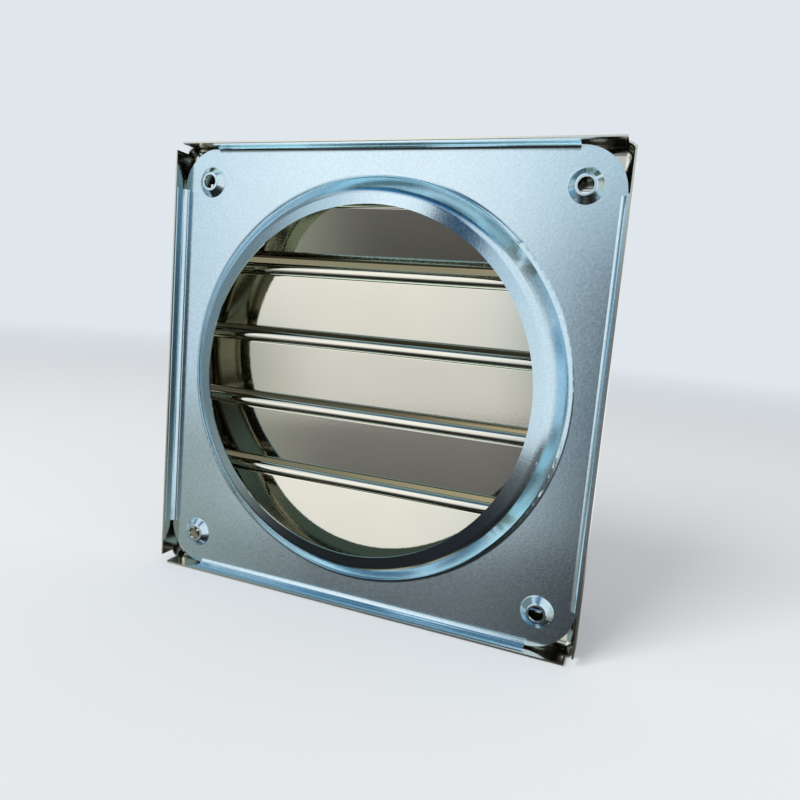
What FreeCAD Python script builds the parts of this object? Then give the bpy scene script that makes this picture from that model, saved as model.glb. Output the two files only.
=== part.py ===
"""Square wall vent: a louvred sheet metal panel with a nested back plate.

Frame: +Z up, +X to the right when seen from the louvred front, which faces -Y; the wall side
faces +Y. The origin is the centre of the four screw holes, on the plane of the boss crowns.
All sizes are millimetres and live in the "dims" spreadsheet.
"""
import FreeCAD, Part
import math
import os

import Sketcher
from FreeCAD import Vector

DIMENSIONS = {
    # front cover: stainless tray, folded towards the wall
    "cover_side": 170.0,
    "cover_sheet": 0.6,
    "cover_rear_y": 2.9,
    "cover_front_y": -9.0,
    "cover_edge_bend": 3.6,
    "cover_corner_round": 3.7,
    "wall_half_length": 82.0,
    "notch_floor_y": -3.5,
    "mouth_half_width": 75.5,
    "mouth_top_z": 70.3,
    "mouth_foot_z": -72.6,
    "mouth_bend": 1.2,
    "mouth_relief": 0.8,
    "cheek_rear_y": -3.4,
    "ledge_rear_y": -7.0,
    # back plate: zinc coated tray that nests inside the cover
    "plate_sheet": 0.7,
    "plate_rear_y": -2.0,
    "plate_corner_half": 83.6,
    "plate_corner_round": 15.3,
    "flange_outer_half": 84.4,
    "flange_half_length": 68.0,
    "flange_bend": 2.7,
    "flange_rear_y": 2.5,
    # drawn collar around the round opening
    "opening_dia": 125.6,
    "collar_base_dia": 149.8,
    "collar_rise": 8.0,
    "collar_slope_deg": 48.0,
    "collar_lean_deg": 17.0,
    "collar_root_bend": 2.6,
    "collar_crest_bend": 5.0,
    # conical screw bosses
    "screw_pitch": 141.8,
    "screw_hole_dia": 5.2,
    "boss_base_dia": 11.4,
    "boss_crown_dia": 6.9,
    # flaps: rolled hinge barrel on top, kicked-out lip below
    "flap_width": 149.2,
    "flap_sheet": 0.4,
    "barrel_dia": 4.4,
    "barrel_neck": 1.0,
    "barrel_wrap_deg": 316.0,
    "flap_fold_at": 22.2,
    "foot_flap_fold_at": 28.2,
    "lip_bend": 1.4,
    "lip_kick_deg": 38.0,
    "lip_length": 3.2,
    "hinge_y": -6.8,
    "pin_dia": 3.44,
    "pin_length": 153.4,
}

# hinge height and hanging tilt of each flap, from the top down; a positive tilt is open outwards
FLAPS = [(65.8, 20.0), (39.45, 3.8), (13.1, 4.9), (-13.2, 5.3), (-39.5, -7.6)]


def make_sheet(doc):
    """Write the driving dimensions into an aliased spreadsheet."""
    sheet = doc.addObject("Spreadsheet::Sheet", "dims")
    rows = list(DIMENSIONS.items())
    for number, (height, tilt) in enumerate(FLAPS, 1):
        rows += [(f"hinge_z_{number}", height), (f"hang_tilt_{number}", tilt)]
    for row, (name, value) in enumerate(rows, 1):
        sheet.set(f"A{row}", name)
        sheet.set(f"B{row}", f"{value:g}")
        sheet.setAlias(f"B{row}", name)
    doc.recompute()
    return sheet


def size(doc, name):
    """Read one driving dimension back from the spreadsheet."""
    return float(doc.getObject("dims").get(name))


# ---------------------------------------------------------------- sketch helpers

def origin_plane(body, role):
    """Find one of a body's own origin planes by its role."""
    return next(f for f in body.Origin.OriginFeatures if f.Role == role)


def new_body(doc, label):
    """Start a body whose label is its node name."""
    body = doc.addObject("PartDesign::Body", label)
    body.Label = label
    return body


def new_sketch(body, name, role, offset=None):
    """Attach an empty sketch to an origin plane, moved along its normal by an expression."""
    sketch = body.newObject("Sketcher::SketchObject", name)
    sketch.AttachmentSupport = [(origin_plane(body, role), "")]
    sketch.MapMode = "FlatFace"
    if offset:
        sketch.setExpression("AttachmentOffset.Base.z", offset)
    return sketch


def bind(sketch, kind, refs, value, name, expression):
    """Add a named dimensional constraint and bind it to the spreadsheet."""
    index = sketch.addConstraint(Sketcher.Constraint(kind, *refs, value))
    sketch.renameConstraint(index, name)
    sketch.setExpression(f"Constraints.{name}", expression)


def add_box_outline(sketch, x_low, x_high, y_low, y_high, tag=""):
    """Draw a rectangle whose four sides are bound; each side is (value, expression)."""
    corners = [(x_low, y_low), (x_high, y_low), (x_high, y_high), (x_low, y_high)]
    points = [Vector(a[0], b[0], 0) for a, b in corners]
    first = len(sketch.Geometry)
    for start, end in zip(points, points[1:] + points[:1]):
        sketch.addGeometry(Part.LineSegment(start, end), False)
    for side in range(4):
        sketch.addConstraint(Sketcher.Constraint("Coincident", first + side, 2,
                                                 first + (side + 1) % 4, 1))
    for side, kind in enumerate(("Horizontal", "Vertical", "Horizontal", "Vertical")):
        sketch.addConstraint(Sketcher.Constraint(kind, first + side))
    for kind, point, (value, expression), name in (
            ("DistanceX", 1, x_low, "x_low"), ("DistanceY", 1, y_low, "y_low")):
        bind(sketch, kind, (-1, 1, first, point), value, name + tag, expression)
    for kind, (value, expression), name in (
            ("DistanceX", x_high, "x_high"), ("DistanceY", y_high, "y_high")):
        bind(sketch, kind, (-1, 1, first + 1 if kind == "DistanceX" else first + 2, 2 if
                            kind == "DistanceY" else 1), value, name + tag, expression)
    return first


def add_circle(sketch, x, y, radius, tag):
    """Draw a circle; centre and radius are (value, expression) pairs."""
    index = sketch.addGeometry(Part.Circle(Vector(x[0], y[0], 0), Vector(0, 0, 1), radius[0]), False)
    bind(sketch, "Radius", (index,), radius[0], "radius" + tag, radius[1])
    bind(sketch, "DistanceX", (-1, 1, index, 3), x[0], "x" + tag, x[1])
    bind(sketch, "DistanceY", (-1, 1, index, 3), y[0], "y" + tag, y[1])
    return index


def strip_outline(start, heading_deg, moves, thickness):
    """Outline of a bent strip of sheet, as Part curves in order around it.

    The strip's centre line starts at a point with a heading. Each move is ("line", length) or
    ("arc", centre line radius, signed turn in degrees); a positive turn is to the left.
    """
    half = thickness / 2.0
    x, y, heading = start[0], start[1], math.radians(heading_deg)
    left, right = [], []

    def side(px, py, angle, shift):
        return Vector(px - shift * math.sin(angle), py + shift * math.cos(angle), 0)

    first = (side(x, y, heading, half), side(x, y, heading, -half))
    for move in moves:
        if move[0] == "line":
            nx, ny = x + move[1] * math.cos(heading), y + move[1] * math.sin(heading)
            for curves, shift in ((left, half), (right, -half)):
                curves.append(Part.LineSegment(side(x, y, heading, shift),
                                               side(nx, ny, heading, shift)))
            x, y = nx, ny
            continue
        radius, turn = move[1], math.radians(move[2])
        sign = 1.0 if turn > 0 else -1.0
        cx, cy = x - sign * radius * math.sin(heading), y + sign * radius * math.cos(heading)
        middle, end = heading + turn / 2.0, heading + turn
        for curves, shift in ((left, half), (right, -half)):
            reach = radius - sign * shift
            stops = [Vector(cx + sign * reach * math.sin(a), cy - sign * reach * math.cos(a), 0)
                     for a in (heading, middle, end)]
            curves.append(Part.Arc(*stops))
        x, y, heading = (cx + sign * radius * math.sin(end),
                         cy - sign * radius * math.cos(end), end)
    last = (side(x, y, heading, half), side(x, y, heading, -half))
    return left + [Part.LineSegment(*last)] + right[::-1] + [Part.LineSegment(first[1], first[0])]


def add_curves(sketch, curves, radii=None):
    """Add a closed chain of curves, join their ends, and bind the radii that are named."""
    first = len(sketch.Geometry)
    for curve in curves:
        sketch.addGeometry(curve, False)
    ends = [(sketch.getPoint(first + i, 1), sketch.getPoint(first + i, 2))
            for i in range(len(curves))]
    for index in range(len(curves)):
        after = (index + 1) % len(curves)
        here, there = min(((p, q) for p in (1, 2) for q in (1, 2)),
                          key=lambda pq: ends[index][pq[0] - 1].distanceToPoint(
                              ends[after][pq[1] - 1]))
        sketch.addConstraint(Sketcher.Constraint("Coincident", first + index, here,
                                                 first + after, there))
    for index, (name, value, expression) in (radii or {}).items():
        bind(sketch, "Radius", (first + index,), value, name, expression)


# ---------------------------------------------------------------- feature helpers

def pad(body, sketch, name, length, reverse=False, midplane=False, taper=None):
    """Pad a sketch by an expression."""
    feature = body.newObject("PartDesign::Pad", name)
    feature.Profile = sketch
    feature.Midplane = midplane
    feature.Reversed = reverse
    feature.setExpression("Length", length)
    if taper:
        feature.setExpression("TaperAngle", taper)
    return feature


def pocket(body, sketch, name, length, reverse=False, midplane=False, taper=None):
    """Cut a sketch out by an expression, and make sure that it removed something."""
    before = body.Shape.Volume
    feature = body.newObject("PartDesign::Pocket", name)
    feature.Profile = sketch
    feature.Midplane = midplane
    feature.Reversed = reverse
    feature.setExpression("Length", length)
    if taper:
        feature.setExpression("TaperAngle", taper)
    body.Document.recompute()
    if body.Shape.Volume >= before - 0.01:
        raise RuntimeError(f"{body.Label}: {name} cuts nothing")
    return feature


def around_y(body, feature, name, count):
    """Repeat a feature around the body's Y axis."""
    pattern = body.newObject("PartDesign::PolarPattern", name)
    pattern.Originals = [feature]
    pattern.Axis = (next(f for f in body.Origin.OriginFeatures if f.Role == "Y_Axis"), [""])
    pattern.Angle = 360
    pattern.Occurrences = count
    body.Tip = pattern
    body.Document.recompute()
    return pattern


def round_edges(body, name, chooser, radius):
    """Fillet the edges of the tip that the chooser accepts."""
    body.Document.recompute()
    tip = body.Tip
    names = [f"Edge{i}" for i, edge in enumerate(tip.Shape.Edges, 1) if chooser(edge)]
    if not names:
        raise RuntimeError(f"{body.Label}: {name} finds no edge")
    fillet = body.newObject("PartDesign::Fillet", name)
    fillet.Base = (tip, names)
    fillet.setExpression("Radius", radius)
    body.Document.recompute()
    return fillet


def flat_at(edge, y, tolerance=1e-4):
    """Does the whole edge lie at one Y?"""
    box = edge.BoundBox
    return abs(box.YMin - y) < tolerance and abs(box.YMax - y) < tolerance


# ---------------------------------------------------------------- the pieces

def build_cover(doc):
    """Front cover: a shallow stainless tray with open corners and a louvre mouth."""
    body = new_body(doc, "front_cover")
    half, rear = size(doc, "cover_side") / 2, size(doc, "cover_rear_y")
    front = size(doc, "cover_front_y")

    blank = new_sketch(body, "cover_blank", "XZ_Plane", "-dims.cover_rear_y")
    side = (half, "dims.cover_side / 2")
    add_box_outline(blank, (-half, "-dims.cover_side / 2"), side,
                    (-half, "-dims.cover_side / 2"), side)
    pad(body, blank, "cover_block", "dims.cover_rear_y - dims.cover_front_y")
    round_edges(body, "corner_round",
                lambda e: e.BoundBox.YLength > 5 and e.BoundBox.XLength < 1e-4,
                "dims.cover_corner_round")
    round_edges(body, "edge_bend", lambda e: flat_at(e, front), "dims.cover_edge_bend")

    base = body.Tip
    shell = body.newObject("PartDesign::Thickness", "cover_shell")
    shell.Base = (base, [f"Face{i}" for i, face in enumerate(base.Shape.Faces, 1)
                         if abs(face.CenterOfMass.y - rear) < 1e-4])
    shell.setExpression("Value", "dims.cover_sheet")
    shell.Reversed = True
    shell.Mode = 0
    shell.Join = 0
    doc.recompute()
    cut_corners(doc, body)
    cut_mouth(doc, body)
    fold_cheeks(doc, body)
    fold_ledges(doc, body)
    drill_cheeks(doc, body)
    return body


def cut_corners(doc, body):
    """Open the four corners, so that each wall ends short of its neighbour."""
    inner, outer = size(doc, "wall_half_length"), size(doc, "cover_side") / 2 + 1
    low, high = "dims.wall_half_length", "dims.cover_side / 2 + 1"
    sketch = new_sketch(body, "corner_notches", "XZ_Plane", "-dims.cover_rear_y")
    spans = {1: ((inner, low), (outer, high)), -1: ((-outer, f"-({high})"), (-inner, f"-{low}"))}
    for tag, (sx, sz) in enumerate(((1, 1), (1, -1), (-1, 1), (-1, -1))):
        add_box_outline(sketch, *spans[sx], *spans[sz], tag=f"_{tag}")
    pocket(body, sketch, "corner_cut", "dims.cover_rear_y - dims.notch_floor_y", reverse=True)


def cut_mouth(doc, body):
    """Cut the rectangular mouth that the flaps fill, back to the start of its folds."""
    bend = size(doc, "mouth_bend")
    sketch = new_sketch(body, "mouth_outline", "XZ_Plane", "-dims.cover_front_y - 2")
    reach = size(doc, "mouth_half_width") + bend
    add_box_outline(sketch, (-reach, "-(dims.mouth_half_width + dims.mouth_bend)"),
                    (reach, "dims.mouth_half_width + dims.mouth_bend"),
                    (size(doc, "mouth_foot_z") - bend, "dims.mouth_foot_z - dims.mouth_bend"),
                    (size(doc, "mouth_top_z") + bend, "dims.mouth_top_z + dims.mouth_bend"))
    pocket(body, sketch, "mouth_cut", "4 mm", reverse=True)


def fold_curves(doc, start, heading, turn, rear_name):
    """Section of one mouth fold: from the front face round a bend to its free edge."""
    sheet, bend = size(doc, "cover_sheet"), size(doc, "mouth_bend")
    leg = size(doc, rear_name) - (size(doc, "cover_front_y") + bend)
    return strip_outline(start, heading, [("arc", bend - sheet / 2, turn), ("line", leg)], sheet)


def fold_cheeks(doc, body):
    """Fold the mouth's sides towards the wall: the two cheeks that carry the hinge pins."""
    level = size(doc, "cover_front_y") + size(doc, "cover_sheet") / 2
    edge = size(doc, "mouth_half_width") + size(doc, "mouth_bend")
    for outward, name in ((1, "right"), (-1, "left")):
        sketch = new_sketch(body, f"cheek_{name}_section", "XY_Plane",
                            "dims.mouth_foot_z + dims.mouth_relief")
        add_curves(sketch, fold_curves(doc, (outward * edge, level), 90 + 90 * outward,
                                       -90 * outward, "cheek_rear_y"))
        pad(body, sketch, f"cheek_{name}",
            "dims.mouth_top_z - dims.mouth_foot_z - 2 * dims.mouth_relief")
        doc.recompute()


def fold_ledges(doc, body):
    """Fold the mouth's top and foot into short ledges."""
    level = size(doc, "cover_front_y") + size(doc, "cover_sheet") / 2
    for outward, name in ((1, "top"), (-1, "foot")):
        edge = size(doc, f"mouth_{name}_z") + outward * size(doc, "mouth_bend")
        sketch = new_sketch(body, f"ledge_{name}_section", "YZ_Plane")
        add_curves(sketch, fold_curves(doc, (level, edge), -90 * outward, 90 * outward,
                                       "ledge_rear_y"))
        pad(body, sketch, f"ledge_{name}", "2 * (dims.mouth_half_width - dims.mouth_relief)",
            midplane=True)
        doc.recompute()


def drill_cheeks(doc, body):
    """Drill both cheeks for the hinge pins."""
    sketch = new_sketch(body, "pin_holes", "YZ_Plane")
    for number, (height, _) in enumerate(FLAPS, 1):
        add_circle(sketch, (size(doc, "hinge_y"), "dims.hinge_y"),
                   (height, f"dims.hinge_z_{number}"),
                   (size(doc, "pin_dia") / 2, "dims.pin_dia / 2"), f"_{number}")
    pocket(body, sketch, "pin_drilling", "2 * dims.mouth_half_width + 4", midplane=True)


def build_plate(doc):
    """Back plate: zinc coated sheet with folded sides, a drawn collar and screw bosses."""
    body = new_body(doc, "back_plate")
    blank = new_sketch(body, "plate_outline", "XZ_Plane", "-dims.plate_rear_y")
    add_curves(blank, plate_outline(doc), {i: (f"corner_{i}", size(doc, "plate_corner_round"),
                                               "dims.plate_corner_round") for i in (3, 9, 15, 21)})
    pad(body, blank, "plate", "dims.plate_sheet")

    flange = new_sketch(body, "flange_section", "YZ_Plane")
    add_curves(flange, flange_curves(doc))
    first = pad(body, flange, "flange", "2 * dims.flange_half_length", midplane=True)
    doc.recompute()
    around_y(body, first, "flanges", 4)

    raise_collar(doc, body)
    raise_bosses(doc, body)
    return body


def plate_outline(doc):
    """Flat part of the plate: rounded corners that stand out past the flange bends."""
    reach, bend = size(doc, "plate_corner_half"), size(doc, "plate_corner_round")
    fold = size(doc, "flange_outer_half") - size(doc, "flange_bend")
    end = size(doc, "flange_half_length")
    centre = reach - bend
    corner = bend * math.sqrt(0.5)
    quarter = [("line", (-end, fold), (end, fold)), ("line", (end, fold), (end, reach)),
               ("line", (end, reach), (centre, reach)),
               ("arc", (centre, reach), (centre + corner, centre + corner), (reach, centre)),
               ("line", (reach, centre), (reach, end)), ("line", (reach, end), (fold, end))]
    if abs(centre - end) < 1e-6:
        raise RuntimeError("plate corners must clear the flange ends")
    curves = []
    for turn in range(4):
        angle = -math.pi / 2 * turn
        cos, sin = round(math.cos(angle)), round(math.sin(angle))
        for kind, *points in quarter:
            spun = [Vector(x * cos - z * sin, x * sin + z * cos, 0) for x, z in points]
            curves.append(Part.Arc(*spun) if kind == "arc" else Part.LineSegment(*spun))
    return curves


def flange_curves(doc):
    """Section of the top flange in (Y, Z): a bend towards the wall and a short leg."""
    sheet, bend = size(doc, "plate_sheet"), size(doc, "flange_bend")
    start = (size(doc, "plate_rear_y") - sheet / 2, size(doc, "flange_outer_half") - bend)
    front = size(doc, "plate_rear_y") - sheet
    leg = size(doc, "flange_rear_y") - (front + bend)
    return strip_outline(start, 90.0, [("arc", bend - sheet / 2, -90), ("line", leg)], sheet)


def collar_legs(doc):
    """Lengths of the collar's flank and of its land, from its base, bore, rise and bends."""
    steep, lean = (math.radians(size(doc, f"collar_{name}_deg")) for name in ("slope", "lean"))
    root, crest = size(doc, "collar_root_bend"), size(doc, "collar_crest_bend")
    along = (size(doc, "collar_base_dia") - size(doc, "opening_dia")) / 2 \
        - root * math.sin(steep) - crest * (math.sin(steep) - math.sin(lean))
    up = size(doc, "collar_rise") - root * (1 - math.cos(steep)) \
        - crest * (math.cos(lean) - math.cos(steep))
    across = math.sin(steep - lean)
    return ((up * math.cos(lean) - along * math.sin(lean)) / across,
            (along * math.sin(steep) - up * math.cos(steep)) / across)


def raise_collar(doc, body):
    """Draw the collar: root bend, flank, soft crest and a land that leans outwards.

    The bend radii and the rise belong to the wall side face. The land is drawn a little too
    long, and the opening is then punched through it.
    """
    sheet, base = size(doc, "plate_sheet"), size(doc, "collar_base_dia") / 2
    slope, lean = size(doc, "collar_slope_deg"), size(doc, "collar_lean_deg")
    root = size(doc, "collar_root_bend") + sheet / 2
    crest = size(doc, "collar_crest_bend") - sheet / 2
    flank, land = collar_legs(doc)

    blank = new_sketch(body, "collar_blank_hole", "XZ_Plane", "-dims.plate_rear_y + 1")
    add_circle(blank, (0, "0"), (0, "0"), (base, "dims.collar_base_dia / 2"), "_blank")
    pocket(body, blank, "collar_blank_cut", "3 mm", midplane=True)

    section = new_sketch(body, "collar_section", "XY_Plane")
    add_curves(section, strip_outline((base, size(doc, "plate_rear_y") - sheet / 2), 180.0, [
        ("arc", root, -slope), ("line", flank), ("arc", crest, slope - lean),
        ("line", land + sheet)], sheet),
        {0: ("root_front", root + sheet / 2, "dims.collar_root_bend + dims.plate_sheet"),
         2: ("crest_front", crest - sheet / 2, "dims.collar_crest_bend - dims.plate_sheet")})
    collar = body.newObject("PartDesign::Revolution", "collar")
    collar.Profile = section
    collar.ReferenceAxis = (section, ["V_Axis"])
    collar.Angle = 360
    doc.recompute()

    opening = new_sketch(body, "opening_circle", "XZ_Plane", "-dims.collar_rise")
    add_circle(opening, (0, "0"), (0, "0"), (size(doc, "opening_dia") / 2, "dims.opening_dia / 2"),
               "_opening")
    pocket(body, opening, "opening_punch", "2 * dims.collar_rise", midplane=True)


def raise_bosses(doc, body):
    """Raise the four conical bosses towards the wall, dished in front for the screw heads."""
    rise = -size(doc, "plate_rear_y")
    base, crown = size(doc, "boss_base_dia") / 2, size(doc, "boss_crown_dia") / 2
    pitch, sheet = size(doc, "screw_pitch") / 2, size(doc, "plate_sheet")
    hole = size(doc, "screw_hole_dia") / 2
    taper = "atan((dims.boss_base_dia - dims.boss_crown_dia) / 2 / (-dims.plate_rear_y))"
    corners = [(1, 1), (1, -1), (-1, 1), (-1, -1)]

    def circles(name, offset, radius, expression):
        sketch = new_sketch(body, name, "XZ_Plane", offset)
        for tag, (sx, sz) in enumerate(corners):
            add_circle(sketch, (sx * pitch, f"{sx} * dims.screw_pitch / 2"),
                       (sz * pitch, f"{sz} * dims.screw_pitch / 2"), (radius, expression),
                       f"_{tag}")
        return sketch

    cones = circles("boss_circles", "-dims.plate_rear_y", base, "dims.boss_base_dia / 2")
    pad(body, cones, "bosses", "-dims.plate_rear_y", reverse=True, taper=f"-{taper}")
    doc.recompute()
    round_edges(body, "boss_crown_round",
                lambda e: flat_at(e, 0.0) and abs(e.BoundBox.XLength - 2 * crown) < 0.1, "0.7 mm")
    round_edges(body, "boss_root_round",
                lambda e: flat_at(e, -rise) and abs(e.BoundBox.XLength - 2 * base) < 0.1
                and math.hypot(e.CenterOfMass.x, e.CenterOfMass.z) > 90, "0.5 mm")
    dish = base - sheet * 0.8
    dishes = circles("dish_circles", "-dims.plate_rear_y + dims.plate_sheet", dish,
                     "dims.boss_base_dia / 2 - 0.8 * dims.plate_sheet")
    pocket(body, dishes, "dishes", "-dims.plate_rear_y", reverse=False, taper=f"-{taper}")
    holes = circles("screw_circles", "-dims.plate_rear_y - 3", hole, "dims.screw_hole_dia / 2")
    pocket(body, holes, "screw_holes", "8 mm", midplane=True)


def flap_curves(doc, fold_at):
    """Section of a flap in (Y, Z) about its pin: barrel, flat strip and kicked-out lip.

    The strip's wall side face lies in the plane of the pin axis. Going up, the sheet turns
    through a short neck to the front, wraps over the pin and ends behind the strip.
    """
    sheet, neck = size(doc, "flap_sheet"), size(doc, "barrel_neck")
    wrap = size(doc, "barrel_dia") / 2 - sheet / 2
    middle = -sheet / 2
    neck_z = math.sqrt((wrap + neck) ** 2 - (neck - middle) ** 2)
    neck_turn = math.degrees(math.atan2(neck_z, neck - middle))
    kick, bend, lip = (size(doc, f"lip_{name}") for name in ("kick_deg", "bend", "length"))
    sin, cos = math.sin(math.radians(kick)), math.cos(math.radians(kick))
    foot = (middle - lip * sin - bend * (1 - cos), -(fold_at + lip * cos + bend * sin))
    return strip_outline(foot, 90.0 - kick, [
        ("line", lip), ("arc", bend, kick), ("line", fold_at - neck_z),
        ("arc", neck, neck_turn), ("arc", wrap, -size(doc, "barrel_wrap_deg"))], sheet)


def build_flap(doc, number):
    """One flap: a single bent strip that hangs from its pin; the lowest one is longer."""
    body = new_body(doc, f"flap_{number}")
    sketch = new_sketch(body, f"flap_{number}_section", "YZ_Plane")
    fold_name = "foot_flap_fold_at" if number == len(FLAPS) else "flap_fold_at"
    add_curves(sketch, flap_curves(doc, size(doc, fold_name)))
    pad(body, sketch, f"flap_{number}_strip", "dims.flap_width", midplane=True)
    body.Placement = FreeCAD.Placement(Vector(0, 0, 0), FreeCAD.Rotation(Vector(-1, 0, 0), 1))
    body.setExpression("Placement.Base.y", "dims.hinge_y")
    body.setExpression("Placement.Base.z", f"dims.hinge_z_{number}")
    body.setExpression("Placement.Rotation.Angle", f"dims.hang_tilt_{number}")
    return body


def build_pin(doc, number):
    """One hinge pin, fixed in both cheeks."""
    pin = doc.addObject("Part::Cylinder", f"pin_{number}")
    pin.Label = f"pin_{number}"
    pin.setExpression("Radius", "dims.pin_dia / 2")
    pin.setExpression("Height", "dims.pin_length")
    pin.Placement = FreeCAD.Placement(Vector(0, 0, 0), FreeCAD.Rotation(Vector(0, 1, 0), 90))
    pin.setExpression("Placement.Base.x", "-dims.pin_length / 2")
    pin.setExpression("Placement.Base.y", "dims.hinge_y")
    pin.setExpression("Placement.Base.z", f"dims.hinge_z_{number}")
    return pin


# ---------------------------------------------------------------- checks and export

def check(doc, parts):
    """Stop on any failed object, and on any part without one valid solid."""
    for item in doc.Objects:
        if {"Invalid", "Error"} & set(item.State):
            raise RuntimeError(f"{item.Label} failed: {item.State}")
    for item in parts:
        shape = item.Shape
        if shape.isNull() or not shape.isValid() or len(shape.Solids) != 1:
            raise RuntimeError(f"{item.Label} is not one valid solid")


def main():
    doc = FreeCAD.newDocument("wall_vent")
    make_sheet(doc)
    parts = [build_cover(doc), build_plate(doc)]
    for number in range(1, len(FLAPS) + 1):
        parts += [build_flap(doc, number), build_pin(doc, number)]
    doc.recompute()
    check(doc, parts)
    os.makedirs("parts", exist_ok=True)
    for item in parts:
        item.Shape.exportStep(f"parts/{item.Label}.step")
        box = item.Shape.BoundBox
        print(f"{item.Label}: volume {item.Shape.Volume:.1f} mm3, "
              f"x {box.XMin:.2f}..{box.XMax:.2f}, y {box.YMin:.2f}..{box.YMax:.2f}, "
              f"z {box.ZMin:.2f}..{box.ZMax:.2f}")


main()
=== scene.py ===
"""Dresses the louvred wall vent: rolled stainless cover and flaps, a zinc coated back plate, and
the plain stage that they stand on. Everything is in metres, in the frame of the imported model."""

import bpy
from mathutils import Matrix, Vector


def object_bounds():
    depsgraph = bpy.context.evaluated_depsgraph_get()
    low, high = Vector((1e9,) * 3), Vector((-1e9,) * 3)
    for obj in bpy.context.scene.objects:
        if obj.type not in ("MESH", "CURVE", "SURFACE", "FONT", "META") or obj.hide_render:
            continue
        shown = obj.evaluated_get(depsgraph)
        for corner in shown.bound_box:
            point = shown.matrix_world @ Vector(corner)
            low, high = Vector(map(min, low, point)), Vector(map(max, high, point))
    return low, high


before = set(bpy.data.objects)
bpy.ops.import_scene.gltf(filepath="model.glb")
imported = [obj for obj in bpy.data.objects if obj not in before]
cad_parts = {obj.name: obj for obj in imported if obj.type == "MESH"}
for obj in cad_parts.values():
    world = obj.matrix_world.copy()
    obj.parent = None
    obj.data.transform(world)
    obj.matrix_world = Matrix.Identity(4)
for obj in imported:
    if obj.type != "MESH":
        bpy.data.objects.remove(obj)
CAD_BOX = [list(map(float, corner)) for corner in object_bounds()]

import math

import bpy
import numpy as np
from bpy.props import FloatProperty, FloatVectorProperty, PointerProperty
from mathutils import Matrix, Vector

bl_info = {
    "name": "Louvred wall vent",
    "version": (1, 0, 0),
    "blender": (4, 5, 0),
    "location": "View3D > Sidebar > Vent",
    "description": "Finishes a louvred sheet metal wall vent and sets its stage",
    "category": "Object",
}

MM = 0.001

# floor and key lamp, in metres
FLOOR_GAP = 0.3 * MM
FLOOR_RADIUS = 2.5
FLOOR_FADE = (0.5, 2.2)
KEY_PLACE = (0.35, 0.75, 0.65)
KEY_SIZE = 0.5
KEY_TINT = (1.0, 0.98, 0.95)

# wall side face of the zinc plate, in millimetres: flat, flank of the collar, and its land
PLATE_LEVEL = -2.0
FLANK_FOOT_RADIUS, FLANK_SLOPE = 73.7, math.radians(48.0)
OPENING_RADIUS, LAND_TOP, LAND_LEAN = 62.8, 6.0, math.radians(17.0)
HALF_SHEET = 0.35
# colour of the louvred side of the plate: painted shade for the dark enclosed space between plate
# and cover
PAINTED_SHADE_ZINC = (0.20, 0.20, 0.15)

# depth of the grain and of the slow waves in the rolled sheets, in metres
COVER_RELIEF = (0.012 * MM, 0.05 * MM)
FLAP_RELIEF = (0.018 * MM, 0.03 * MM)

# the count that Ray Depth shows in the world after one, and after three, meetings with metal
ONE_MEETING, THREE_MEETINGS = 2, 4


# ---------------------------------------------------------------- shader maths

class Value:
    """A number in a node tree; the operators add the Math nodes that work it out."""

    def __init__(self, tree, socket):
        self.tree, self.socket = tree, socket

    def _math(self, operation, *terms, clamp=False):
        node = self.tree.nodes.new("ShaderNodeMath")
        node.operation, node.use_clamp = operation, clamp
        for place, term in zip(node.inputs, terms):
            if isinstance(term, Value):
                self.tree.links.new(term.socket, place)
            else:
                place.default_value = term
        return Value(self.tree, node.outputs[0])

    def __add__(self, other):
        return self._math("ADD", self, other)

    def __sub__(self, other):
        return self._math("SUBTRACT", self, other)

    def __rsub__(self, other):
        return self._math("SUBTRACT", other, self)

    def __mul__(self, other):
        return self._math("MULTIPLY", self, other)

    def __truediv__(self, other):
        return self._math("DIVIDE", self, other)

    def __rtruediv__(self, other):
        return self._math("DIVIDE", other, self)

    def __pow__(self, other):
        return self._math("POWER", self, other)

    __radd__, __rmul__ = __add__, __mul__

    def __abs__(self):
        return self._math("ABSOLUTE", self)

    def asin_degrees(self):
        return self._math("ARCSINE", self) * (180 / math.pi)

    def beyond(self, count):
        """0 up to a whole number, and 1 from the next one on."""
        return self.step(count + 0.2, count + 0.8)

    def degrees_towards(self, other):
        """Angle of the point (other, self) about the origin, in degrees."""
        return self._math("ARCTAN2", self, other) * (180 / math.pi)

    def larger(self, other):
        return self._math("MAXIMUM", self, other)

    def smaller(self, other):
        return self._math("MINIMUM", self, other)

    def clamped(self):
        return self._math("ADD", self, 0.0, clamp=True)

    def step(self, low, high):
        """Rises smoothly from 0 at low to 1 at high; falls if high is below low."""
        node = self.tree.nodes.new("ShaderNodeMapRange")
        node.interpolation_type = "SMOOTHSTEP"
        self.tree.links.new(self.socket, node.inputs["Value"])
        ends = (low, high, 0.0, 1.0) if low < high else (high, low, 1.0, 0.0)
        for name, end in zip(("From Min", "From Max", "To Min", "To Max"), ends):
            node.inputs[name].default_value = end
        return Value(self.tree, node.outputs["Result"])

    def within(self, low, high, soft):
        """1 between low and high, fading to 0 over soft outside them."""
        return self.step(low - soft, low) * self.step(high + soft, high)


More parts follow.
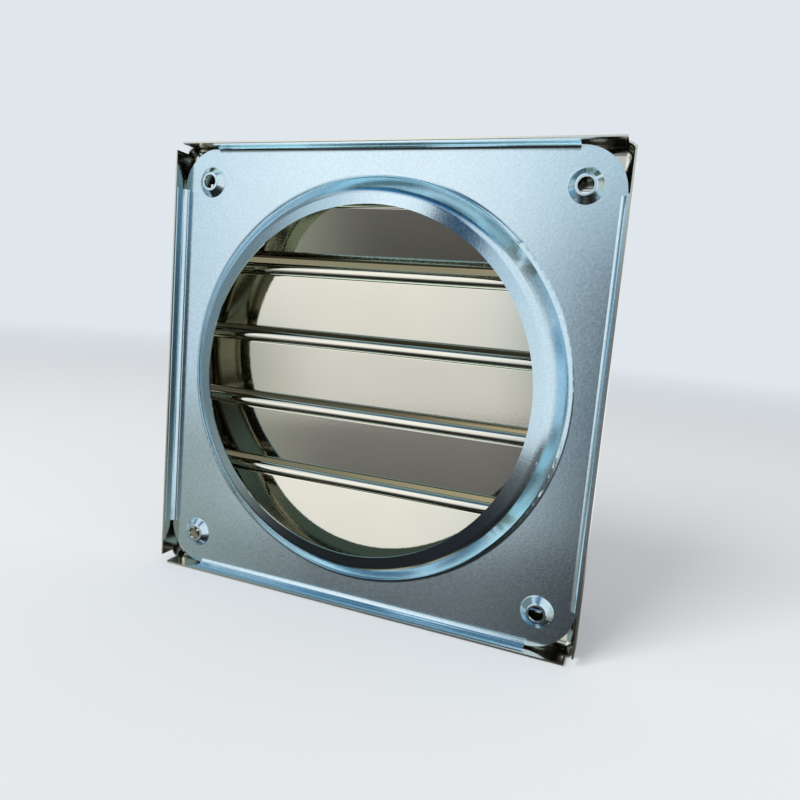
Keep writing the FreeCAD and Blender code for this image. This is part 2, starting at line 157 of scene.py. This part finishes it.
class Shader:
    """Builds the node tree of one material or of the world."""

    def __init__(self, owner):
        owner.use_nodes = True
        self.tree = owner.node_tree
        self.tree.nodes.clear()

    def node(self, kind, settings=None, **sockets):
        """Add a node: its settings first, then the values or links of its input sockets."""
        node = self.tree.nodes.new(kind)
        for name, setting in (settings or {}).items():
            setattr(node, name, setting)
        for name, value in sockets.items():
            place = node.inputs[int(name[1:])] if name[0] == "_" else node.inputs[
                name.replace("_", " ")]
            if isinstance(value, Value):
                value = value.socket
            if isinstance(value, bpy.types.NodeSocket):
                self.tree.links.new(value, place)
            else:
                place.default_value = value
        return node

    def value(self, node, output=0):
        """One output of a node, as a number."""
        return Value(self.tree, node.outputs[output])

    def split(self, vector):
        """The three parts of a vector, as numbers."""
        parts = self.node("ShaderNodeSeparateXYZ", _0=vector)
        return [self.value(parts, axis) for axis in range(3)]

    def mix(self, factor, low, high):
        """Blend two colours by a factor."""
        node = self.node("ShaderNodeMix", {"data_type": "RGBA"}, _0=factor, _6=rgba(low),
                         _7=rgba(high))
        return node.outputs[2]

    def ramp(self, value, low, high, stops):
        """Colour that follows (value, colour) stops; the first is at low, the last at high."""
        node = self.node("ShaderNodeValToRGB", _0=(value - low) / (high - low))
        marks = node.color_ramp.elements
        for at, _ in stops[1:-1]:
            marks.new((at - low) / (high - low))
        for mark, (_, colour) in zip(marks, stops):
            mark.color = rgba(colour)
        return node.outputs[0]

    def place(self, scale=(1, 1, 1)):
        """The object's own coordinates in millimetres, stretched."""
        own = self.node("ShaderNodeTexCoord").outputs["Object"]
        return self.node("ShaderNodeMapping", _0=own, _3=tuple(s / MM for s in scale)).outputs[0]

    def noise(self, at, scale, detail=2.0, roughness=0.5):
        """Smooth noise about 0.5, with so many cells to a millimetre."""
        node = self.node("ShaderNodeTexNoise", Vector=at, Scale=scale, Detail=detail,
                         Roughness=roughness)
        return self.value(node, "Fac")

    def bump(self, height, strength, distance, under=None):
        """Normal of a relief of so many metres, laid over the one under it."""
        sockets = {"Height": height, "Strength": strength, "Distance": distance}
        if under is not None:
            sockets["Normal"] = under
        return self.node("ShaderNodeBump", **sockets).outputs[0]

    def finish(self, shader, kind="ShaderNodeOutputMaterial"):
        """Wire the last shader to the output."""
        self.tree.links.new(shader, self.node(kind).inputs["Surface"])


def rgba(colour):
    """Colour triples get their alpha; sockets pass through."""
    if isinstance(colour, (Value, bpy.types.NodeSocket)):
        return colour
    return (*colour, 1.0) if len(colour) == 3 else tuple(colour)


def new_material(name):
    """An empty material and the builder of its node tree."""
    material = bpy.data.materials.new(name)
    return material, Shader(material)


def dress(node, material):
    """Give a CAD node one material all over."""
    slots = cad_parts[node].data.materials
    slots.clear()
    slots.append(material)


# ---------------------------------------------------------------- finishes

def louvred_side(s):
    """1 on the side of the zinc plate that faces the louvres, 0 on its wall side.

    The wall side face is flat, then climbs the collar's flank, and follows the land in to the
    opening. Halfway through the sheet below it, one side gives way to the other.
    """
    x, y, z = s.split(s.place())
    radius = (x * x + z * z) ** 0.5
    flank = (FLANK_FOOT_RADIUS - radius) * math.tan(FLANK_SLOPE) + PLATE_LEVEL
    land = LAND_TOP - (radius - OPENING_RADIUS) * math.tan(LAND_LEAN)
    face = flank.smaller(land).larger(PLATE_LEVEL)
    # the louvred side that this marks is darkened with painted shade of the enclosed space behind
    # the cover
    return (face - HALF_SHEET - y).step(-0.02, 0.02)


def shades(s, tone, colour, dark, light):
    """A colour that runs between a darker and a lighter shade of itself."""
    return s.mix(tone.clamped(), [c * dark for c in colour],
                 [min(1.0, c * light) for c in colour])


def bare_metal(s, colour, roughness, relief):
    """Finish a material as metal."""
    metal = s.node("ShaderNodeBsdfPrincipled", Base_Color=rgba(colour), Metallic=1.0,
                   Roughness=roughness.clamped(), Normal=relief)
    s.finish(metal.outputs[0])


def zinc_coat(colour, roughness):
    """Hot dip zinc with a skin pass: bluish satin metal with a fine even grain, and painted shade
    on its louvred side, where the enclosed space behind the cover is dark.
    """
    material, s = new_material("zinc_coat")
    at = s.place()
    grain = s.noise(at, 1.3, detail=2.0, roughness=0.6)
    cloud = s.noise(at, 0.035, detail=3.0)
    skin = s.noise(s.place(scale=(1, 1, 0.35)), 0.25, detail=2.0)
    tone = (cloud - 0.5) * 0.5 + (grain - 0.5) * 1.5 + 0.5
    # the louvred side takes the dark colour, a painted shade of the space behind the cover
    base = s.mix(louvred_side(s), shades(s, tone, colour, 0.86, 1.08), PAINTED_SHADE_ZINC)
    rough = roughness + (grain - 0.5) * 0.10 + (cloud - 0.5) * 0.06
    relief = s.bump(skin, 0.15, 0.02 * MM)
    relief = s.bump(grain, 0.5, 0.022 * MM, relief)
    bare_metal(s, base, rough, relief)
    return material


def rolled_stainless(name, colour, roughness, relief_depths):
    """Rolled stainless sheet: faint streaks along X, a fine grain and a slow waviness."""
    material, s = new_material(name)
    grain_depth, wave_depth = relief_depths
    at = s.place()
    streak = s.noise(s.place(scale=(0.04, 1, 1)), 2.2, detail=3.0, roughness=0.6)
    grain = s.noise(at, 1.6, detail=2.0, roughness=0.7)
    cloud = s.noise(at, 0.05, detail=3.0, roughness=0.55)
    wave = s.noise(at, 0.028, detail=1.0)
    tone = (cloud - 0.5) * 0.7 + (streak - 0.5) * 0.3 + 0.5
    base = shades(s, tone, colour, 0.93, 1.04)
    rough = roughness + (streak - 0.5) * 0.03 + (grain - 0.5) * 0.04 + (cloud - 0.5) * 0.03
    relief = s.bump(wave, 0.6, wave_depth)
    relief = s.bump(grain, 0.5, grain_depth, relief)
    bare_metal(s, base, rough, relief)
    return material


def drawn_wire(colour):
    """Bright drawn wire: drawing lines along the pin."""
    material, s = new_material("drawn_wire")
    lines = s.noise(s.place(scale=(0.02, 1, 1)), 6.0, detail=2.0)
    rough = 0.24 + (lines - 0.5) * 0.12
    bare_metal(s, colour, rough, s.bump(lines, 0.3, 0.01 * MM))
    return material


# ---------------------------------------------------------------- stage

def disc_mesh(name, radius, level, rings=24, spokes=96):
    """Flat disc: point (r, a) lies at (r cos a, r sin a, level), r from 0 to radius."""
    r = np.linspace(0.0, radius, rings + 1)[1:]
    a = np.linspace(0.0, 2 * math.pi, spokes, endpoint=False)
    grid = np.stack([np.outer(r, np.cos(a)), np.outer(r, np.sin(a)),
                     np.full((rings, spokes), level)], axis=-1).reshape(-1, 3)
    points = np.vstack([[0.0, 0.0, level], grid])
    ring, spoke = np.meshgrid(np.arange(rings - 1), np.arange(spokes), indexing="ij")
    after = (spoke + 1) % spokes
    quads = 1 + np.stack([ring * spokes + spoke, (ring + 1) * spokes + spoke,
                          (ring + 1) * spokes + after, ring * spokes + after], -1).reshape(-1, 4)
    hub = np.stack([np.zeros(spokes, int), 1 + np.arange(spokes),
                    1 + (np.arange(spokes) + 1) % spokes], -1)
    mesh = bpy.data.meshes.new(name)
    mesh.from_pydata(points.tolist(), [], hub.tolist() + quads.tolist())
    return mesh


def floor_finish(colour, fade_from, fade_to):
    """Matt pale floor that fades into the background far from the object."""
    material, s = new_material("floor")
    x, y, _ = s.split(s.node("ShaderNodeTexCoord").outputs["Object"])
    away = (x * x + y * y) ** 0.5
    matt = s.node("ShaderNodeBsdfDiffuse", Color=rgba(colour), Roughness=0.5)
    clear = s.node("ShaderNodeBsdfTransparent")
    blend = s.node("ShaderNodeMixShader", _0=away.step(fade_from, fade_to), _1=matt.outputs[0],
                   _2=clear.outputs[0])
    s.finish(blend.outputs[0])
    return material


def grey(level):
    """A neutral colour."""
    return (level, level, level)


def studio_colour(s, rise, turn, settings):
    """The studio that the metal shows, painted by direction.

    Rise is the height above the horizon, and turn the angle from the wall side (+Y) towards
    +X, both in degrees. A pale wall stands on the wall side between a deep bench and a blue
    ceiling, and the louvred side is dusk over a dim floor. Over that come the places where the
    wall loses its light, the near end of the bench, two side walls, a dark beam, the dark top
    and a dark screen.
    """
    under, ceiling = settings.under_colour, settings.ceiling_colour
    rear = s.ramp(rise, -90.0, 90.0, [
        (-90, under), (-80, under), (-70, grey(0.012)), (-44, grey(0.02)), (-32, grey(0.085)),
        (-25, grey(0.14)), (-19.4, grey(0.20)), (-17.6, grey(0.62)), (-9, grey(0.74)),
        (-2, grey(0.84)), (12, settings.wall_colour), (48, settings.wall_colour),
        (60, ceiling), (90, ceiling)])
    front = s.ramp(rise, -90.0, 90.0, [
        (-90, under), (-78, under), (-62, settings.front_floor_colour),
        (-38, settings.front_floor_colour), (-20, grey(0.05)), (0, settings.corner_colour),
        (40, settings.corner_colour), (56, ceiling), (90, ceiling)])
    whole = s.mix(abs(turn).step(85.0, 125.0), rear, front)
    falloff = abs(turn - 24.0).step(4.0, 24.0) * rise.step(-20.0, -8.0) * rise.step(60.0, 40.0)
    whole = s.mix(falloff * abs(turn).step(110.0, 70.0) * 0.6, whole, settings.falloff_colour)
    bench = turn.step(27.0, 38.0) * turn.step(100.0, 70.0) * rise.step(-5.0, -13.0)
    whole = s.mix(bench * rise.step(-40.0, -26.0) * 0.85, whole, settings.bench_colour)
    left = turn.within(62.0, 110.0, 14.0) * rise.step(-30.0, -12.0) * rise.step(60.0, 40.0)
    whole = s.mix(left * 0.9, whole, settings.left_colour)
    right = turn.step(-14.0, -24.0) * rise.step(-23.0, -14.0) * rise.step(70.0, 52.0)
    whole = s.mix(right, whole, settings.right_colour)
    beam = turn.within(-5.0, 8.0, 4.0) * rise.within(27.0, 50.0, 6.0)
    whole = s.mix(beam, whole, settings.night_colour)
    whole = s.mix(rise.step(66.0, 76.0), whole, settings.night_colour)
    screen = turn.step(14.0, 0.0) * turn.step(-23.0, -15.0) * rise.step(16.0, 0.0)
    return s.mix(screen * 0.9, whole, settings.screen_colour)


def echo_colour(s, rise, turn, settings):
    """What metal shows that is itself seen in metal, by the same two angles.

    The collar's flanks and the flanges lie in shade of the plate: pale below, dark at eye
    height and soft blue above. Nothing comes back from the louvred side but a dim glow.
    """
    pale, dusk = settings.echo_pale_colour, settings.echo_dusk_colour
    rear = s.ramp(rise, -90.0, 90.0, [
        (-90, pale), (-48, pale), (-34, settings.bench_colour), (-20, settings.bench_colour),
        (-11, dusk), (-1, dusk), (16, settings.falloff_colour), (45, settings.falloff_colour),
        (70, settings.night_colour), (90, settings.night_colour)])
    whole = s.mix(turn.within(-14.0, 6.0, 5.0) * rise.step(-30.0, -20.0), rear,
                  settings.wall_colour)
    whole = s.mix(abs(turn).step(80.0, 100.0), whole, settings.echo_front_colour)
    flank = abs(turn).within(64.0, 125.0, 8.0) * rise.within(-24.0, 60.0, 8.0)
    return s.mix(flank, whole, settings.right_colour)


def studio_world(settings):
    """World: a pale surround for the eye and for soft light, and a studio for the metal."""
    world = bpy.data.worlds.new("studio")
    bpy.context.scene.world = world
    s = Shader(world)
    x, y, z = s.split(s.node("ShaderNodeTexCoord").outputs["Generated"])
    rise, turn = z.asin_degrees(), x.degrees_towards(y)
    path = s.node("ShaderNodeLightPath")
    depth = s.value(path, "Ray Depth")
    studio = s.mix(depth.beyond(ONE_MEETING), studio_colour(s, rise, turn, settings),
                   echo_colour(s, rise, turn, settings))
    studio = s.mix(depth.beyond(THREE_MEETINGS), studio, settings.lost_colour)
    soft = s.node("ShaderNodeBackground", Color=rgba(settings.soft_light_colour),
                  Strength=settings.soft_light)
    seen = s.node("ShaderNodeBackground", Color=rgba(settings.background_colour), Strength=1.0)
    shine = s.node("ShaderNodeBackground", Color=studio, Strength=settings.shine)
    lit = s.node("ShaderNodeMixShader", _0=path.outputs["Is Glossy Ray"], _1=soft.outputs[0],
                 _2=shine.outputs[0])
    whole = s.node("ShaderNodeMixShader", _0=path.outputs["Is Camera Ray"], _1=lit.outputs[0],
                   _2=seen.outputs[0])
    s.finish(whole.outputs[0], "ShaderNodeOutputWorld")


def add_lamp(name, place, aim, size, power, colour):
    """A square soft lamp at a place, turned to its aim."""
    data = bpy.data.lights.new(name, "AREA")
    data.shape, data.size, data.energy, data.color = "SQUARE", size, power, colour
    lamp = bpy.data.objects.new(name, data)
    lamp.location = place
    lamp.rotation_euler = (Vector(aim) - Vector(place)).to_track_quat("-Z", "Y").to_euler()
    lamp.visible_glossy = False
    bpy.context.scene.collection.objects.link(lamp)


def add_camera(place, aim, roll, lens):
    """A camera at a place, looking at its aim and rolled about its line of sight."""
    data = bpy.data.cameras.new("camera")
    data.lens, data.sensor_width, data.clip_start = lens, 36.0, 0.005
    camera = bpy.data.objects.new("camera", data)
    look = (Vector(aim) - Vector(place)).to_track_quat("-Z", "Y").to_matrix().to_4x4()
    camera.matrix_world = Matrix.Translation(place) @ look @ Matrix.Rotation(roll, 4, "Z")
    bpy.context.scene.collection.objects.link(camera)
    bpy.context.scene.camera = camera


# ---------------------------------------------------------------- settings

def colour_setting(name, description, default):
    """A colour property."""
    return FloatVectorProperty(name=name, description=description, default=default, size=3,
                               subtype="COLOR", min=0.0, max=1.0)


class VentFinishSettings(bpy.types.PropertyGroup):
    """Colours and polish of the sheet metal."""
    zinc_colour: colour_setting("Zinc", "Reflected colour of the back plate", (0.68, 0.84, 0.93))
    zinc_roughness: FloatProperty(name="Zinc roughness", description="Satin of the back plate",
                                  default=0.15, min=0.0, max=1.0, subtype="FACTOR")
    cover_colour: colour_setting("Cover", "Reflected colour of the cover", (0.78, 0.76, 0.68))
    cover_roughness: FloatProperty(name="Cover roughness", description="Satin of the cover",
                                   default=0.16, min=0.0, max=1.0, subtype="FACTOR")
    flap_colour: colour_setting("Flaps", "Reflected colour of the flaps", (0.84, 0.82, 0.72))
    flap_roughness: FloatProperty(name="Flap roughness", description="Polish of the flaps",
                                  default=0.05, min=0.0, max=1.0, subtype="FACTOR")
    wire_colour: colour_setting("Pins", "Reflected colour of the hinge pins", (0.70, 0.69, 0.66))


class VentStageSettings(bpy.types.PropertyGroup):
    """Floor, light and camera."""
    floor_colour: colour_setting("Floor", "Colour of the floor", (0.80, 0.82, 0.84))
    background_colour: colour_setting("Background", "Colour behind the object",
                                      (0.74, 0.80, 0.85))
    soft_light_colour: colour_setting("Soft light", "Colour of the surrounding light",
                                      (0.96, 0.98, 1.0))
    soft_light: FloatProperty(name="Soft light level", description="Strength of that light",
                              default=0.7, min=0.0, max=2.0)
    shine: FloatProperty(name="Shine", description="Brightness of the studio in the metal",
                         default=1.12, min=0.0, max=4.0)
    wall_colour: colour_setting("Wall", "Studio wall that the metal shows", (0.96, 0.96, 0.96))
    ceiling_colour: colour_setting("Ceiling", "Studio ceiling that the metal shows",
                                   (0.04, 0.17, 0.33))
    under_colour: colour_setting("Under", "Table top right under the object",
                                 (0.42, 0.37, 0.24))
    front_floor_colour: colour_setting("Front floor", "Floor beyond the louvred side",
                                       (0.26, 0.25, 0.18))
    corner_colour: colour_setting("Corner", "Blue dusk beyond the louvred side",
                                  (0.09, 0.21, 0.42))
    falloff_colour: colour_setting("Falloff", "Studio wall away from its light",
                                   (0.25, 0.40, 0.50))
    bench_colour: colour_setting("Bench", "Low bench on the left", (0.30, 0.32, 0.29))
    night_colour: colour_setting("Night", "Dark part of the ceiling", (0.02, 0.06, 0.11))
    left_colour: colour_setting("Left", "Dim wall on the far left", (0.14, 0.18, 0.19))
    right_colour: colour_setting("Right", "Pale wall on the far right", (0.76, 0.80, 0.82))
    echo_pale_colour: colour_setting("Echo, pale", "Bench seen by way of the plate",
                                     (0.80, 1.0, 1.0))
    echo_dusk_colour: colour_setting("Echo, dusk", "Eye height seen by way of the plate",
                                     (0.05, 0.065, 0.065))
    echo_front_colour: colour_setting("Echo, front", "Louvred side seen from inside",
                                      (0.035, 0.034, 0.026))
    lost_colour: colour_setting("Lost", "Glow left after many turns in the metal",
                                (0.15, 0.15, 0.12))
    screen_colour: colour_setting("Screen", "Dark screen on the wall side",
                                  (0.02, 0.022, 0.025))
    lens: FloatProperty(name="Lens", description="Focal length", default=29.3, min=10.0,
                        max=200.0)
    camera_place: FloatVectorProperty(name="Camera", description="Place of the camera",
                                      default=(-0.0962, 0.2155, 0.0262), subtype="TRANSLATION",
                                      unit="LENGTH")
    camera_aim: FloatVectorProperty(name="Aim", description="Point that the camera looks at",
                                    default=(-0.0152, 0.0, -0.0041), subtype="TRANSLATION",
                                    unit="LENGTH")
    camera_roll: FloatProperty(name="Roll", description="Turn about the line of sight",
                               default=math.radians(4.82), subtype="ANGLE", unit="ROTATION")
    lamp_power: FloatProperty(name="Lamp", description="Power of the key lamp", default=6.0,
                              min=0.0, unit="POWER")


# ---------------------------------------------------------------- operators

class VENT_OT_back_plate(bpy.types.Operator):
    """Give the back plate its zinc coat"""
    bl_idname = "vent.back_plate"
    bl_label = "Back plate"

    def execute(self, context):
        finish = context.scene.vent_finish
        dress("back_plate", zinc_coat(finish.zinc_colour, finish.zinc_roughness))
        return {"FINISHED"}


class VENT_OT_front_cover(bpy.types.Operator):
    """Give the front cover its rolled stainless finish"""
    bl_idname = "vent.front_cover"
    bl_label = "Front cover"

    def execute(self, context):
        finish = context.scene.vent_finish
        dress("front_cover", rolled_stainless("cover_stainless", finish.cover_colour,
                                              finish.cover_roughness, COVER_RELIEF))
        return {"FINISHED"}


class VENT_OT_flaps(bpy.types.Operator):
    """Give the flaps their bright finish, and the pins theirs"""
    bl_idname = "vent.flaps"
    bl_label = "Flaps and pins"

    def execute(self, context):
        finish = context.scene.vent_finish
        bright = rolled_stainless("flap_stainless", finish.flap_colour, finish.flap_roughness,
                                  FLAP_RELIEF)
        wire = drawn_wire(finish.wire_colour)
        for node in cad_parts:
            if node.startswith("flap_"):
                dress(node, bright)
            elif node.startswith("pin_"):
                dress(node, wire)
        return {"FINISHED"}


class VENT_OT_stage(bpy.types.Operator):
    """Lay the floor, light the studio and place the camera"""
    bl_idname = "vent.stage"
    bl_label = "Stage"

    def execute(self, context):
        stage = context.scene.vent_stage
        level = CAD_BOX[0][2] - FLOOR_GAP
        floor = bpy.data.objects.new("floor", disc_mesh("floor", FLOOR_RADIUS, level))
        floor.data.materials.append(floor_finish(stage.floor_colour, *FLOOR_FADE))
        floor.visible_glossy = False
        context.scene.collection.objects.link(floor)
        studio_world(stage)
        add_lamp("key", KEY_PLACE, (0.0, 0.0, 0.0), KEY_SIZE, stage.lamp_power, KEY_TINT)
        add_camera(stage.camera_place, stage.camera_aim, stage.camera_roll, stage.lens)
        context.scene.view_settings.view_transform = "Standard"
        return {"FINISHED"}


class VENT_PT_panel(bpy.types.Panel):
    """Lists the pieces and their settings"""
    bl_label = "Louvred wall vent"
    bl_idname = "VENT_PT_panel"
    bl_space_type = "VIEW_3D"
    bl_region_type = "UI"
    bl_category = "Vent"

    def draw(self, context):
        layout = self.layout
        for operator in OPERATORS:
            layout.operator(operator.bl_idname)
        for settings in (context.scene.vent_finish, context.scene.vent_stage):
            for name in settings.__annotations__:
                layout.prop(settings, name)


OPERATORS = (VENT_OT_back_plate, VENT_OT_front_cover, VENT_OT_flaps, VENT_OT_stage)
CLASSES = (VentFinishSettings, VentStageSettings, *OPERATORS, VENT_PT_panel)


def register():
    for kind in CLASSES:
        bpy.utils.register_class(kind)
    bpy.types.Scene.vent_finish = PointerProperty(type=VentFinishSettings)
    bpy.types.Scene.vent_stage = PointerProperty(type=VentStageSettings)


def unregister():
    del bpy.types.Scene.vent_stage
    del bpy.types.Scene.vent_finish
    for kind in reversed(CLASSES):
        bpy.utils.unregister_class(kind)


def main():
    register()
    bpy.ops.vent.back_plate()
    bpy.ops.vent.front_cover()
    bpy.ops.vent.flaps()
    bpy.ops.vent.stage()


if __name__ == "__main__":
    main()
